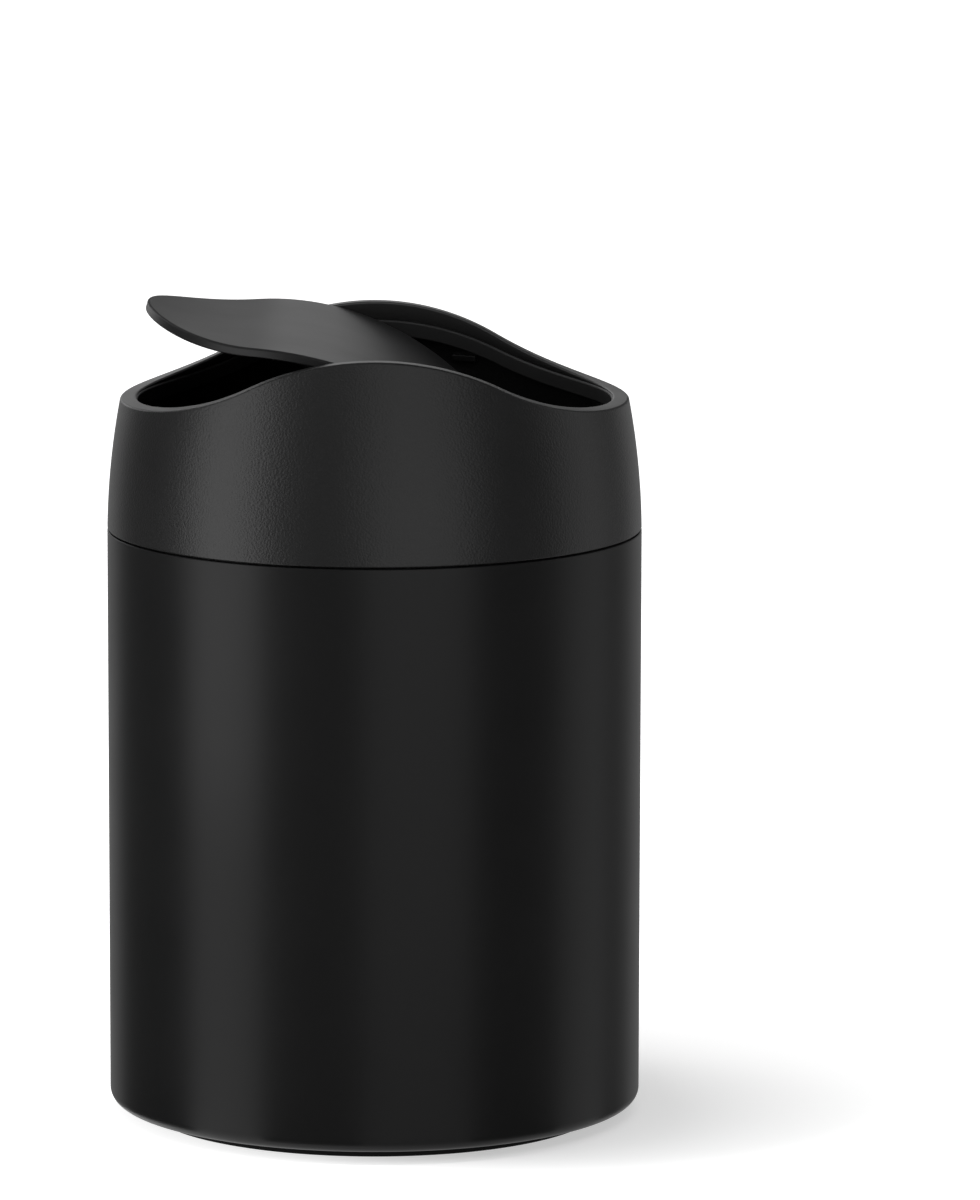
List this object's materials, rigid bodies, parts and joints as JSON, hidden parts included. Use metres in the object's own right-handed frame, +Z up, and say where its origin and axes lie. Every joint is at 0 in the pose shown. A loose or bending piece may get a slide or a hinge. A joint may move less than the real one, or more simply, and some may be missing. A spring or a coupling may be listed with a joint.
{
  "type": "countertop trash can with swing lid",
  "caption": "Small round countertop bin: straight bucket, lift-off barrel collar with a wave-cut rim, and a saddle-shaped swing lid on a pivot ring.",
  "frame": {"origin": "on the table under the middle of the bucket", "axes": "+Z up along the bin's axis; the lid's pivot axis lies along Y through the two crests of the rim; -X is the lid's raised wing and +X its pressed wing"},
  "size_m": [0.122, 0.122, 0.1878],
  "materials": {
    "bucket_plastic": "smooth satin",
    "collar_plastic": "fine pebble",
    "ring_plastic": "smooth matt",
    "lid_plastic": "fine satin",
    "keel_plastic": "smooth matt",
    "foot_rubber": "matt",
    "pin_steel": "drawn"
  },
  "bodies": {
    "bucket": {"bucket": "bucket_plastic", "foot_ring": "foot_rubber"},
    "collar": {"collar_shell": "collar_plastic", "pivot_ring": "ring_plastic"},
    "lid": {"lid_panel": "lid_plastic", "lid_keel": "keel_plastic", "hinge_pin_front": "pin_steel", "hinge_pin_rear": "pin_steel"}
  },
  "joints": [
    {"name": "collar_lift", "type": "slide", "parent": "bucket", "child": "collar", "axis": [0, 0, 1], "range_m": [0, 0.06]},
    {"name": "lid_swing", "type": "hinge", "parent": "collar", "child": "lid", "pos_m": [0, 0, 0.1721], "axis": [0, 1, 0], "range_deg": [-99.2, 50.8]}
  ]
}
